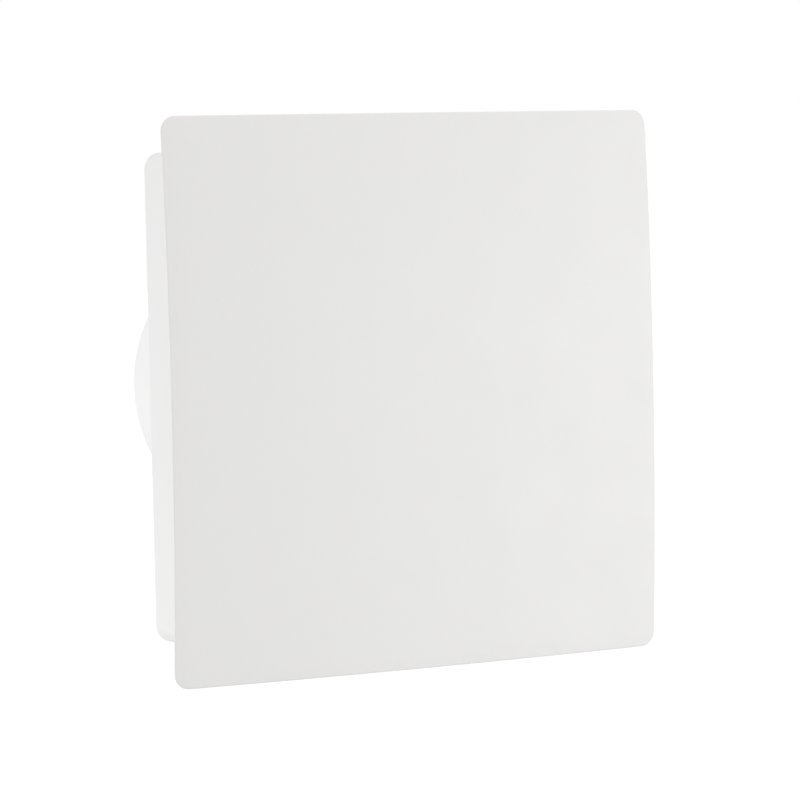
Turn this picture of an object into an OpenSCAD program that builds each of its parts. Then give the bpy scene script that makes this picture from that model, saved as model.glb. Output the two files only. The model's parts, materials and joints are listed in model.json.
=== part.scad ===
// Single-room heat recovery unit: a domed cover, a square housing, and a round duct spigot that
// holds a reversing axial fan and a ceramic heat store.
// Frame: +Z up, the front faces -Y, the duct runs along +Y. The origin is on the duct axis, in the
// plane of the wall. Millimetres.

/* [Front cover] */
// Width and height of the square cover
cover_w = 180; // [176:1:190]
// Distance from the wall to the plane of the cover's corners
cover_stand = 35; // [34.5:0.1:37]
// Thickness of the cover's plate
cover_t = 2.6; // [2:0.1:3]
// Radius of the cover's corners, seen from the front
cover_r = 5; // [3:0.5:8]
// How far the cover bulges across its width
bulge_across = 3.2; // [1:0.1:4]
// How far the cover bulges over its height
bulge_over = 2.75; // [1:0.05:4]

/* [Housing] */
// Width and height of the square housing
housing_w = 158; // [156:0.5:160]
// Depth of the housing from the wall
housing_d = 20; // [19.8:0.1:20.5]
// Wall thickness of the housing
housing_t = 2.2; // [1.8:0.1:2.4]
// Radius of the housing's corners
housing_r = 5.5; // [5:0.5:8]

/* [Duct] */
// Outer diameter of the spigot, for a 100 mm duct
spigot_od = 98.5; // [98.3:0.1:99]
// Length of the spigot behind the wall plane
spigot_len = 74; // [68:1:90]

/* [Fan] */
// Number of fan blades
blades = 7; // [5:1:8]
// Pitch of the blades from the plane of the fan
blade_pitch = 40; // [30:1:44]

/* [Heat store] */
// Length of the ceramic core
core_len = 34; // [20:1:36]
// Spacing of the core's square channels
channel_pitch = 5.2; // [5:0.1:7]
// Wall between two channels
channel_wall = 0.9; // [0.7:0.1:1.2]

/* [Hidden] */
$fn = 96;

// Gap between two parts that lie against each other
gap = 0.05;
// Gap between two parts of which one moves
play = 0.3;

// Cover: the radii of its two curvatures, and its front at the centre
half_w = cover_w / 2;
radius_across = (half_w * half_w + bulge_across * bulge_across) / (2 * bulge_across);
radius_over = (half_w * half_w + bulge_over * bulge_over) / (2 * bulge_over);
cover_front = -cover_stand - bulge_across - bulge_over;
dome_angle = 10;
peg_x = 70;
peg_z = 44;
peg_r = 3;
peg_end = -15.5;
seal_r = 61;
seal_back = -29.3;
rib_back = -31.5;
pad_r = 56;
pad_back = -31.2;

// Planes along the duct axis, from the front to the back
front_y = -housing_d;
panel_y = front_y + housing_t;
plate_front = -5;
plate_back = -2;
plate_w = housing_w - 2 * housing_t - 1.6;
bell_front = panel_y + 0.2;
bell_back = -9.4;
bell_t = 1.8;
casing_front = -9.2;
casing_back = 20;
core_front = casing_back + 1;
core_y = core_front + 1.8;
core_end = core_y + core_len;
filter_end = core_end + 3.1;
grid_end = filter_end + 2.1;

// Radii in the duct
spigot_r = spigot_od / 2;
spigot_in = spigot_r - 2.2;
collar_r = spigot_r + 1.4;
flange_r = 57;
casing_r = spigot_in - play;
fan_bore = 45;
tip_r = fan_bore - 0.7;
aperture_r = 57.8;
bell_flange_r = 60.5;
bell_arc = bell_back - bell_front;
store_r = spigot_in - 0.25;
store_t = 1.4;
core_r = store_r - store_t - 2.4;

// Motor
hub_r = 21;
can_r = 19.5;
shaft_r = 1.48;
bearing_r = 3.98;
bearing_l = 4;
tube_r = 5.5;
base_y = 14;
stator_r = 15.6;
teeth = 6;
strut_angles = [for (k = [0:4]) -45 + 72 * k];
lead_angle = -45;

// Fasteners
screw_r = 1.45;
head_r = 2.8;
spigot_screw_r = 53.5;
spigot_screw_turn = 25;
post_at = 64;
slot_x = 64;
slot_z = 28;
slot_r = 2.3;
slot_len = 12;
lug_x = 18;
lug_y = -8.5;

// Electrics
board_x0 = 31;
board_x1 = 73.2;
board_z0 = -75;
board_z1 = -52;
board_back = -7;
board_front = board_back - 1.6;
part_y = board_front - gap;
board_holes = [[35, -71], [70, -56]];
sensor_holes = [[48.5, 69], [63.5, 58.5]];
dial_z = -63;
humidity_x = 44;
timer_x = 54;
dial_r = 2.8;
dial_front = -19.2;
dial_back = -13.7;
button_y = -11.5;
button_z = -63;
slider_x = 50;
slider_y = -11.5;
light_x = 71;
light_z = -71;
sensor_x = 57;
sensor_z = 64;
entry_x = -36;
entry_z = -62;
entry_r = 3.8;
clamp_x0 = -50;
clamp_w = 5;
harness_r = 58.2;
harness_y = -10.5;

// A flat outline in X and Z, made solid from y0 to y1
module slab(y0, y1) {
  translate([0, y1, 0]) rotate([90, 0, 0]) linear_extrude(y1 - y0) children();
}

// A profile in radius and Y, turned round the duct axis
module spin() {
  rotate([-90, 0, 0]) rotate_extrude() children();
}

// A tube round the duct axis
module ring(y0, y1, inner, outer) {
  slab(y0, y1) difference() {
    circle(outer);
    circle(inner);
  }
}

// A rectangle with round corners, centred
module round_rect(w, h, r) {
  square([w - 2 * r, h], center = true);
  square([w, h - 2 * r], center = true);
  for (sx = [-1, 1], sz = [-1, 1])
    translate([sx * (w / 2 - r), sz * (h / 2 - r)]) circle(r, $fn = 48);
}

// A box between two corners
module block(low, high) {
  translate(low) cube(high - low);
}

// The outline of a round grid: spokes between two radii, a hub disc and a ring
module spokes(count, turn, from, to, rings) {
  circle(rings[0]);
  difference() {
    circle(rings[1]);
    circle(rings[1] - 2);
  }
  for (k = [0:count - 1]) rotate(turn + 360 * k / count)
    translate([from, -1]) square([to - from, 2]);
}

// The same shape at the four corners of a rectangle in X and Z
module at_corners(x, z) {
  for (sx = [-1, 1], sz = [-1, 1]) translate([sx * x, 0, sz * z]) children();
}

// The same shape every 90 degrees round the duct axis, turned with it
module at_quarters(turn = 0) {
  for (k = [0:3]) rotate([0, turn + 90 * k, 0]) children();
}

// A round bar along Y
module bar_y(y0, y1, r) {
  translate([0, y0, 0]) rotate([-90, 0, 0]) cylinder(h = y1 - y0, r = r, $fn = 32);
}

// A round bar along X
module bar_x(x0, x1, r) {
  translate([x0, 0, 0]) rotate([0, 90, 0]) cylinder(h = x1 - x0, r = r, $fn = 32);
}

// A round bar along Z
module bar_z(z0, z1, r) {
  translate([0, 0, z0]) cylinder(h = z1 - z0, r = r, $fn = 32);
}

// A pan head screw that points along +Y, with a cross recess, its head's underside at y = 0
module screw(length, head = head_r, shank = screw_r, head_h = 1.8) {
  difference() {
    bar_y(-head_h, 0, head);
    for (turn = [0, 90]) rotate([0, turn, 0])
      block([-head * 0.6, -head_h - 1, -0.35], [head * 0.6, -head_h + 0.9, 0.35]);
  }
  bar_y(-0.5, length, shank);
}

// The plane just behind the plate at a distance r from the cover's centre
function dome_back(r) = cover_front + cover_t + gap + r * r / (2 * radius_across);

// Everything behind the domed surface, offset towards the wall
module behind_dome(offset_in) {
  translate([0, cover_front + radius_over, 0])
    rotate([-90, 0, 0]) rotate([0, 90, 0]) rotate([0, 0, -dome_angle / 2])
      rotate_extrude(angle = dome_angle, $fn = 1440)
        intersection() {
          translate([radius_over - radius_across, 0]) circle(radius_across - offset_in, $fn = 1440);
          translate([radius_over - 50, -110]) square([60, 220]);
        }
}

// Sweeping: a round tube along a list of points, as one closed solid
function unit(v) = v / norm(v);
function heading(p, i) = unit(p[min(i + 1, len(p) - 1)] - p[max(i - 1, 0)]);
function carry(u, t) = unit(u - (u * t) * t);
function carried(p, u, i = 0) = i == len(p) ? [] :
  let (v = carry(u, heading(p, i))) concat([v], carried(p, v, i + 1));
function spline(a, b, c, d, t) = 0.5 * (2 * b + (c - a) * t + (2 * a - 5 * b + 4 * c - d) * t * t
  + (3 * b - a - 3 * c + d) * t * t * t);
function smooth(p, steps) = concat(
  [for (i = [0:len(p) - 2], k = [0:steps - 1])
    spline(p[max(i - 1, 0)], p[i], p[i + 1], p[min(i + 2, len(p) - 1)], k / steps)],
  [p[len(p) - 1]]);
module tube(points, r, sides = 8, side = [0.31, 0.17, 0.93]) {
  n = len(points);
  us = carried(points, side);
  rings = [for (i = [0:n - 1], k = [0:sides - 1])
    points[i] + r * (cos(360 * k / sides) * us[i]
      + sin(360 * k / sides) * cross(heading(points, i), us[i]))];
  walls = [for (i = [0:n - 2], k = [0:sides - 1])
    [i * sides + k, (i + 1) * sides + k, (i + 1) * sides + (k + 1) % sides, i * sides + (k + 1) % sides]];
  first_cap = [for (k = [0:sides - 1]) k];
  last_cap = [for (k = [sides - 1:-1:0]) (n - 1) * sides + k];
  polyhedron(rings, concat(walls, [first_cap, last_cap]));
}
function polar(r, angle, y) = [r * cos(angle), y, r * sin(angle)];

// ---- cover ----

module front_cover() {
  color("white") {
    difference() {
      intersection() {
        slab(-60, -20) round_rect(cover_w, cover_w, cover_r);
        behind_dome(0);
      }
      behind_dome(cover_t);
    }
    // Stiffening rib, seal rib and pegs, all rooted in the plate
    intersection() {
      union() {
        slab(-60, rib_back) difference() {
          round_rect(cover_w - 16, cover_w - 16, 4);
          round_rect(cover_w - 19, cover_w - 19, 2.5);
        }
        ring(-60, seal_back - 2.65, seal_r - 1, seal_r + 1);
        at_corners(peg_x, peg_z) {
          bar_y(-60, peg_end, peg_r);
          bar_y(-60, rib_back, peg_r + 2);
        }
      }
      behind_dome(cover_t - 0.4);
    }
  }
}

module cover_seal() {
  color("dimgray") ring(seal_back - 2.6, seal_back, seal_r - 1.8, seal_r + 1.8);
}

module sound_pad() {
  color("slategray") spin() polygon(concat(
    [for (r = [0, pad_r / 2, pad_r]) [r, dome_back(r)]],
    [[pad_r, pad_back], [0, pad_back]]));
}

// ---- housing and wall plate ----

module housing() {
  inner_w = housing_w - 2 * housing_t;
  color("whitesmoke") {
    difference() {
      slab(front_y, 0) round_rect(housing_w, housing_w, housing_r);
      slab(panel_y, 1) round_rect(inner_w, inner_w, housing_r - housing_t);
      slab(front_y - 1, -10) circle(aperture_r);
      at_corners(peg_x, peg_z) bar_y(front_y - 1, -10, peg_r + play);
      for (x = [humidity_x, timer_x]) translate([x, 0, dial_z]) bar_y(front_y - 1, -10, dial_r + 0.5);
      translate([light_x, 0, light_z]) bar_y(front_y - 1, -10, 1.8);
      for (k = [-1.5:1:1.5])
        block([sensor_x - 6, front_y - 1, sensor_z + 3.4 * k - 0.8],
              [sensor_x + 6, -10, sensor_z + 3.4 * k + 0.8]);
      translate([0, button_y, button_z]) bar_x(70, 90, 3.8);
      block([slider_x - 5.4, slider_y - 1.3, -90], [slider_x + 5.4, slider_y + 1.3, -70]);
      for (sx = [-1, 1]) translate([sx * lug_x, lug_y, 0]) bar_z(-90, 90, 1.7);
    }
    // Sockets for the cover's pegs
    at_corners(peg_x, peg_z) difference() {
      bar_y(panel_y - 0.5, -6.2, 5.2);
      bar_y(panel_y, 0, 4);
      bar_y(front_y, 0, peg_r + play);
    }
  }
}

module cover_clips() {
  color("silver") at_corners(peg_x, peg_z) slab(-17.5, -13) difference() {
    circle(3.9, $fn = 32);
    circle(peg_r + 0.06, $fn = 32);
    translate([0, -1]) square([6, 2]);
  }
}

module housing_screws() {
  color("silver") for (sx = [-1, 1], sz = [-1, 1])
    translate([sx * lug_x, lug_y, sz * housing_w / 2]) rotate([sz * -90, 0, 0])
      screw(9, shank = 1.4, head_h = 1.4);
}

module wall_plate() {
  color("gainsboro") difference() {
    union() {
      slab(plate_front, plate_back) round_rect(plate_w, plate_w, 4);
      at_quarters() translate([post_at, 0, 0]) bar_y(bell_front + 3.85, plate_front + 1, 4);
      for (sx = [-1, 1], sz = [-1, 1])
        block([sx * lug_x - 4, -12, sz * 71.6 - 3.6], [sx * lug_x + 4, plate_front + 1, sz * 71.6 + 3.6]);
      for (p = concat(board_holes, sensor_holes))
        translate([p[0], 0, p[1]]) bar_y(board_back + gap, plate_front + 1, 2.5);
      for (p = [[-66, 58], [-42, 70]]) translate([p[0], 0, p[1]]) bar_y(-6.5, plate_front + 1, 3);
      block([clamp_x0, -7, entry_z - 9], [clamp_x0 + clamp_w, plate_front + 1, entry_z + 9]);
      for (sz = [-1, 1])
        translate([clamp_x0 + clamp_w / 2, 0, entry_z + sz * 6.6]) bar_y(-10.2, -6, 2.4);
    }
    slab(-20, 0) circle(collar_r + play);
    at_corners(slot_x, slot_z) slab(-20, 0) {
      square([slot_len - 2 * slot_r, 2 * slot_r], center = true);
      for (sx = [-1, 1]) translate([sx * (slot_len / 2 - slot_r), 0]) circle(slot_r, $fn = 32);
    }
    at_quarters() translate([post_at, 0, 0]) bar_y(-20, plate_front + 1, screw_r + gap);
    at_quarters(spigot_screw_turn) translate([spigot_screw_r, 0, 0]) bar_y(-20, 0, screw_r + gap);
    for (sx = [-1, 1]) translate([sx * lug_x, lug_y, 0]) bar_z(-90, 90, 1.45);
    for (p = concat(board_holes, sensor_holes)) translate([p[0], 0, p[1]]) bar_y(-20, plate_back - 0.6, 1.05);
    for (sz = [-1, 1])
      translate([clamp_x0 + clamp_w / 2, 0, entry_z + sz * 6.6]) bar_y(-20, plate_back - 0.6, 1.25);
    translate([entry_x, 0, entry_z]) bar_y(-20, 0, 6);
  }
}

module wall_gasket() {
  color("dimgray") {
    slab(plate_back + gap, 0) difference() {
      round_rect(plate_w - 1, plate_w - 1, 4);
      round_rect(plate_w - 9, plate_w - 9, 2);
    }
    ring(plate_back + gap, 0, collar_r + 0.6, flange_r);
  }
}

// ---- duct train ----

module duct_spigot() {
  stop_y = grid_end + 0.3;
  color("white") difference() {
    spin() difference() {
      polygon([
        [spigot_in, plate_front - 2.2], [flange_r, plate_front - 2.2], [flange_r, plate_front - gap],
        [collar_r, plate_front - gap], [collar_r, 0], [spigot_r, 0], [spigot_r, spigot_len],
        [spigot_in, spigot_len], [spigot_in, stop_y + 1.6], [spigot_in - 1.2, stop_y + 1.2],
        [spigot_in - 1.2, stop_y], [spigot_in, stop_y]
      ]);
    }
    at_quarters(spigot_screw_turn) translate([spigot_screw_r, 0, 0]) bar_y(-20, 0, 1.7);
  }
}

module spigot_screws() {
  color("silver") at_quarters(spigot_screw_turn)
    translate([spigot_screw_r, plate_front - 2.2, 0]) screw(4.6);
}

module inlet_bell() {
  color("lightgray") difference() {
    union() {
      spin() {
        intersection() {
          translate([fan_bore + bell_arc, bell_back]) difference() {
            circle(bell_arc);
            circle(bell_arc - bell_t);
          }
          translate([fan_bore - 1, bell_front - 1]) square([bell_arc + 1, bell_arc + 1]);
        }
        translate([fan_bore + bell_arc - 0.01, bell_front])
          square([bell_flange_r - fan_bore - bell_arc + 0.01, bell_t]);
      }
      at_quarters() {
        block([48.2, bell_front + 1.7, -5], [post_at, bell_front + 3.8, 5]);
        translate([post_at, 0, 0]) bar_y(bell_front + 1.7, bell_front + 3.8, 5);
      }
    }
    at_quarters() translate([post_at, 0, 0]) bar_y(-30, 0, 1.7);
  }
}

module bell_screws() {
  color("silver") at_quarters()
    translate([post_at, bell_front + 1.7, 0]) screw(9, head_h = 1.75);
}

module filter_frame() {
  color("white") {
    ring(front_y - 1.5, bell_front - gap, 47.7, 57.3);
    slab(front_y - 1.4, front_y - 0.2) spokes(6, 0, 7, 48.2, [8, 28]);
  }
}

module room_filter() {
  color("lightslategray") slab(front_y - 0.1, -15.7) circle(47.4);
}

module fan_casing() {
  color("dimgray") difference() {
    union() {
      spin() polygon([
        [fan_bore, casing_front], [50, casing_front], [50, casing_front + 1.95],
        [casing_r, casing_front + 1.95], [casing_r, casing_back], [fan_bore, casing_back]
      ]);
      ring(base_y, base_y + 2, 4.2, 20.5);
      for (a = strut_angles) rotate([0, -a, 0])
        block([19, base_y, -1.2], [fan_bore + 0.8, base_y + 5, 1.2]);
      difference() {
        ring(-4.2, base_y + 2, 3.4, tube_r);
        ring(-5, 0.05, 0, bearing_r + 0.02);
        ring(8.95, 20, 0, bearing_r + 0.02);
      }
    }
    // Channel for the motor lead, along the wall and out through the flange
    rotate([0, -lead_angle, 0]) block([fan_bore - 0.5, casing_front - 1, -1.1], [51, base_y + 0.2, 1.1]);
  }
}

// A ball bearing: outer ring, inner ring and balls
module bearing(y0) {
  y1 = y0 + bearing_l;
  ring(y0, y1, 3.3, bearing_r);
  ring(y0, y1, shaft_r + 0.02, 2.2);
  for (k = [0:6]) rotate([0, k * 360 / 7, 0])
    translate([2.75, (y0 + y1) / 2, 0]) sphere(r = 0.53, $fn = 24);
}

module front_bearing() {
  color("silver") bearing(-4);
}

module rear_bearing() {
  color("silver") bearing(9);
}

module stator_core() {
  color("gray") slab(0, 8) difference() {
    union() {
      circle(8.2);
      for (k = [0:teeth - 1]) rotate(k * 360 / teeth) {
        translate([7, -1.5]) square([7, 3]);
        intersection() {
          difference() {
            circle(stator_r);
            circle(13);
          }
          polygon([[0, 0], [20, -8.2], [20, 8.2]]);
        }
      }
    }
    circle(tube_r + gap);
  }
}

module stator_coils() {
  color("peru") for (k = [0:teeth - 1]) rotate([0, k * 360 / teeth, 0]) difference() {
    block([8.9, -1.8, -3.2], [12.6, 9.8, 3.2]);
    block([8, -gap, -1.55], [13, 8 + gap, 1.55]);
  }
}

module motor_board() {
  color("darkgreen") ring(12.4, base_y - gap, tube_r + 0.1, 17);
}

module impeller() {
  hub_front = -8.2;
  color("dimgray") {
    spin() polygon([
      [0, hub_front], [hub_r - 2, hub_front], [hub_r, hub_front + 2], [hub_r, 11],
      [can_r + gap, 11], [can_r + gap, -6.7], [shaft_r + 0.02, -6.7], [shaft_r + 0.02, -7.7], [0, -7.7]
    ]);
    // Cambered blades between the hub and the tip circle
    intersection() {
      ring(-6.2, 9.2, hub_r - 0.5, tip_r);
      for (k = [0:blades - 1]) rotate([0, k * 360 / blades, 0]) translate([0, 1.5, 0])
        rotate([90 - blade_pitch, 0, 0]) blade();
    }
  }
}

// One blade along +X: a shallow arc of plate
module blade() {
  bow_r = 36;
  blade_t = 1.7;
  chord = 23;
  translate([hub_r - 3, 0, 0]) rotate([90, 0, 90]) linear_extrude(30) intersection() {
    translate([0, -bow_r]) difference() {
      circle(bow_r + blade_t / 2);
      circle(bow_r - blade_t / 2);
    }
    translate([-chord / 2, -6]) square([chord, 12]);
  }
}

module rotor_can() {
  color("silver") spin() polygon([
    [shaft_r + 0.02, -6.65], [can_r, -6.65], [can_r, 10.8], [can_r - 1.2, 10.8],
    [can_r - 1.2, -5.4], [shaft_r + 0.02, -5.4]
  ]);
}

module rotor_magnet() {
  color("black") ring(-3, 10.3, stator_r + 0.7, can_r - 1.2 - gap);
}

module motor_shaft() {
  color("silver") spin() polygon([
    [0, -7.6], [shaft_r, -7.6], [shaft_r, 13.3], [1.15, 13.3], [1.15, 13.8],
    [shaft_r, 13.8], [shaft_r, 14.8], [0, 14.8]
  ]);
}

module preload_washer() {
  color("silver") ring(-5.3, -4.1, shaft_r + 0.1, 2.4);
}

module shaft_clip() {
  color("black") slab(13.35, 13.75) difference() {
    circle(3, $fn = 32);
    circle(1.2, $fn = 32);
    translate([0, -0.8]) square([5, 1.6]);
  }
}

// ---- heat store ----

module core_seal() {
  color("black") ring(casing_back + 0.1, core_front - 0.1, fan_bore, store_r - 0.1);
}

module core_casing() {
  color("lightgray") {
    ring(core_front, filter_end + 0.05, store_r - store_t, store_r);
    ring(core_front, core_y - 0.1, core_r - 0.5, store_r - store_t + 0.1);
    slab(core_front, core_y - 0.1) circle(6);
    for (k = [0:3]) rotate([0, 45 + 90 * k, 0])
      block([5, core_front, -1.2], [core_r, core_y - 0.1, 1.2]);
  }
}

module core_wrap() {
  color("beige") ring(core_y, core_end, core_r + 0.15, store_r - store_t - gap);
}

module ceramic_core() {
  reach = ceil(core_r / channel_pitch);
  hole = channel_pitch - channel_wall;
  color("wheat") slab(core_y, core_end) difference() {
    circle(core_r);
    for (i = [-reach:reach], j = [-reach:reach])
      if (norm([abs(i) + 0.5, abs(j) + 0.5]) * channel_pitch < core_r - 1)
        translate([i * channel_pitch, j * channel_pitch]) square(hole, center = true);
  }
}

module outdoor_filter() {
  color("lightslategray") slab(core_end + 0.1, filter_end - 0.1) circle(store_r - store_t - 0.2);
}

module core_end_grid() {
  color("lightgray") {
    ring(filter_end + 0.1, grid_end, 42.5, store_r);
    slab(filter_end + 0.1, grid_end - 0.1) spokes(8, 22.5, 6, 43, [7, 26]);
  }
}

// ---- electrics ----

module terminal_block() {
  color("ivory") difference() {
    block([-74, -15.5, -72.5], [-54, plate_front - gap, -60]);
    for (k = [-1:1]) translate([-64 + 6.4 * k, 0, 0]) {
      translate([0, 0, -66]) bar_y(-20, -11, 2.3);
      translate([0, -9, 0]) bar_z(-73, -69.5, 1.6);
      translate([0, -9, 0]) bar_z(-63, -59, 1.6);
    }
  }
}

module terminal_screws() {
  color("silver") for (k = [-1:1]) translate([-64 + 6.4 * k, 0, -66]) difference() {
    bar_y(-13.6, -11.1, 2.1);
    block([-3, -14, -0.35], [3, -12.8, 0.35]);
  }
}

module cable_grommet() {
  color("black") translate([entry_x, 0, entry_z]) spin() polygon([
    [entry_r, plate_front - 1.6], [8, plate_front - 1.6], [8, plate_front - gap],
    [5.95, plate_front - gap], [5.95, plate_back + gap], [7.6, plate_back + gap],
    [7.6, -0.5], [entry_r, -0.5]
  ]);
}

module cable_clamp() {
  color("white") difference() {
    block([clamp_x0, -12.6, entry_z - 9], [clamp_x0 + clamp_w, -10.2 - gap, entry_z + 9]);
    translate([0, -8, entry_z]) bar_x(clamp_x0 - 1, clamp_x0 + clamp_w + 1, 3.6);
    for (sz = [-1, 1]) translate([clamp_x0 + clamp_w / 2, 0, entry_z + sz * 6.6]) bar_y(-20, 0, 1.4);
  }
}

module clamp_screws() {
  color("silver") for (sz = [-1, 1])
    translate([clamp_x0 + clamp_w / 2, -12.6, entry_z + sz * 6.6])
      screw(7, head = 2.2, shank = 1.2, head_h = 1.5);
}

module power_supply() {
  color("dimgray") {
    block([-72, -14.5, 54], [-36, -6.5 - gap, 74]);
    block([-69, -15.5, 57], [-39, -14.4, 71]);
  }
}

module supply_lead() {
  route = smooth(concat(
    [[-64, -9, -60], [-64, -9.3, -57], [-58, harness_y, -50]],
    [for (a = [222:-14:138]) polar(harness_r, a, harness_y)],
    [[-47.5, harness_y, 47], [-48, harness_y, 53.95]]), 3);
  color("black") tube(route, 1.2);
}

module low_voltage_lead() {
  route = smooth(concat(
    [[-35.7, harness_y, 62], [-34, harness_y, 62], [-30.5, harness_y, 60]],
    [for (a = [112:-14:-30]) polar(harness_r, a, harness_y)],
    [[53.4, harness_y, -37], [56, harness_y, -46], [56, harness_y, -51.5], [56, harness_y, -53.4]]), 3);
  color("firebrick") tube(route, 1.1);
}

module sensor_lead() {
  route = smooth(concat(
    [[50, harness_y, 55.95], [48.5, -11.6, 51]],
    [for (a = [46:-15.2:-30]) polar(harness_r, a, -12.7)],
    [[54.6, -12.6, -37], [61, -11.4, -47], [63.5, harness_y, -51.6], [63.5, harness_y, -53.2]]), 3);
  color("gray") tube(route, 0.75);
}

module motor_lead() {
  low = 13;
  route = smooth(concat(
    [for (r = [17.1, 24, 34, 43]) polar(r, lead_angle, low)],
    [polar(45.6, lead_angle, 12.2)],
    [for (y = [9, 3, -3]) polar(46, lead_angle, y)],
    [polar(46, lead_angle, -6.4), polar(46.7, lead_angle, -8.2), polar(48.8, lead_angle, -8.4)],
    [polar(53, lead_angle, -8.3), polar(58, lead_angle, -8.6)],
    [[41.4, -9.8, -46.5], [41, harness_y, -51.4], [41, harness_y, -53.4]]), 3);
  color("black") tube(route, 0.75);
}

module control_board() {
  color("darkgreen") difference() {
    block([board_x0, board_front, board_z0], [board_x1, board_back, board_z1]);
    for (p = board_holes) translate([p[0], 0, p[1]]) bar_y(-20, 0, 1.3);
  }
}

module sensor_board() {
  color("darkgreen") difference() {
    block([46, board_front, 56], [66, board_back, 72]);
    for (p = sensor_holes) translate([p[0], 0, p[1]]) bar_y(-20, 0, 1.3);
  }
}

module board_screws() {
  color("silver") for (p = concat(board_holes, sensor_holes))
    translate([p[0], part_y, p[1]]) screw(5.6, head = 2, shank = 1, head_h = 1.4);
}

module processor() {
  color("black") {
    block([33, part_y - 1.2, -65.9], [40, part_y - 0.2, -59.5]);
    for (k = [0:6], side = [-1, 1]) {
      leg_z = -62.7 + side * 3.2;
      block([33.6 + 0.9 * k, part_y - 0.8, min(leg_z, leg_z + side * 0.9)],
            [34 + 0.9 * k, part_y, max(leg_z, leg_z + side * 0.9)]);
    }
  }
}

module capacitor() {
  color("midnightblue") translate([64, 0, -70.8]) bar_y(-16, part_y, 3);
}

module board_connectors() {
  color("ivory") for (x = [[37, 45], [52.2, 59.8], [61.6, 65.4]])
    block([x[0], -12.6, -58], [x[1], part_y, -53.5]);
}

module mode_switch() {
  color("black") {
    block([63.4, -14.4, -66], [69.4, part_y, -60]);
    translate([0, button_y, button_z]) bar_x(69.3, 71.2, 1.1);
  }
}

module mode_button() {
  wall_in = housing_w / 2 - housing_t;
  color("lightgray") translate([0, button_y, button_z]) {
    bar_x(wall_in - 0.3, housing_w / 2 + 1, 3.5);
    bar_x(wall_in - 1.5, wall_in - 0.2, 4.4);
    bar_x(72.4, wall_in - 1.4, 1.2);
  }
}

module button_spring() {
  turns = 3;
  x0 = 69.8;
  x1 = housing_w / 2 - housing_t - 1.9;
  color("silver") tube([for (a = [0:20:360 * turns])
    [x0 + (x1 - x0) * a / (360 * turns), button_y + 2.1 * cos(a), button_z + 2.1 * sin(a)]], 0.3, 6);
}

module slider_switch() {
  color("black") block([42, -14.2, -74.4], [58, part_y, -68.6]);
}

module speed_slider() {
  wall = housing_w / 2;
  color("lightgray") translate([slider_x, slider_y, 0]) {
    block([-6, -2.2, -wall + housing_t + 0.2], [6, 2.2, -74.7]);
    block([-2, -1, -wall - 0.4], [2, 1, -75.5]);
    block([-3.5, -1.8, -wall - 1.2], [3.5, 1.8, -wall - 0.2]);
  }
}

module trimmers() {
  color("royalblue") for (x = [humidity_x, timer_x])
    block([x - 3.4, dial_back + 0.15, dial_z - 3.4], [x + 3.4, part_y, dial_z + 3.4]);
}

// The turning screw of a trimmer, with a slot for a screwdriver
module dial(x) {
  translate([x, 0, dial_z]) difference() {
    bar_y(dial_front, dial_back, dial_r);
    block([-dial_r, dial_front - 1, -0.4], [dial_r * 0.7, dial_front + 1.2, 0.4]);
  }
}

module humidity_dial() {
  color("white") dial(humidity_x);
}

module timer_dial() {
  color("white") dial(timer_x);
}

module status_led() {
  color("palegreen") block([light_x - 1, -10.2, light_z - 0.8], [light_x + 1, part_y, light_z + 0.8]);
}

module status_light() {
  color("aliceblue") translate([light_x, 0, light_z]) {
    bar_y(front_y + 0.1, -10.5, 1.5);
    bar_y(panel_y + 0.1, panel_y + 1.1, 2.4);
  }
}

module humidity_sensor() {
  color("white") difference() {
    block([sensor_x - 2.5, -12, sensor_z - 2.5], [sensor_x + 2.5, part_y, sensor_z + 2.5]);
    translate([sensor_x, 0, sensor_z]) bar_y(-13, -10.5, 1.2);
  }
}

front_cover();
cover_seal();
sound_pad();
housing();
cover_clips();
housing_screws();
wall_plate();
wall_gasket();
duct_spigot();
spigot_screws();
inlet_bell();
bell_screws();
filter_frame();
room_filter();
fan_casing();
front_bearing();
rear_bearing();
stator_core();
stator_coils();
motor_board();
motor_lead();
impeller();
rotor_can();
rotor_magnet();
motor_shaft();
preload_washer();
shaft_clip();
core_seal();
core_casing();
core_wrap();
ceramic_core();
outdoor_filter();
core_end_grid();
terminal_block();
terminal_screws();
cable_grommet();
cable_clamp();
clamp_screws();
power_supply();
supply_lead();
low_voltage_lead();
control_board();
processor();
capacitor();
board_connectors();
board_screws();
mode_switch();
mode_button();
button_spring();
slider_switch();
speed_slider();
trimmers();
humidity_dial();
timer_dial();
status_led();
status_light();
sensor_board();
humidity_sensor();
sensor_lead();
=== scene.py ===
"""Looks of the single-room heat recovery unit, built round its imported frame."""
import json
import math

import bmesh
import bpy
from mathutils import Matrix, Vector, noise


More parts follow.
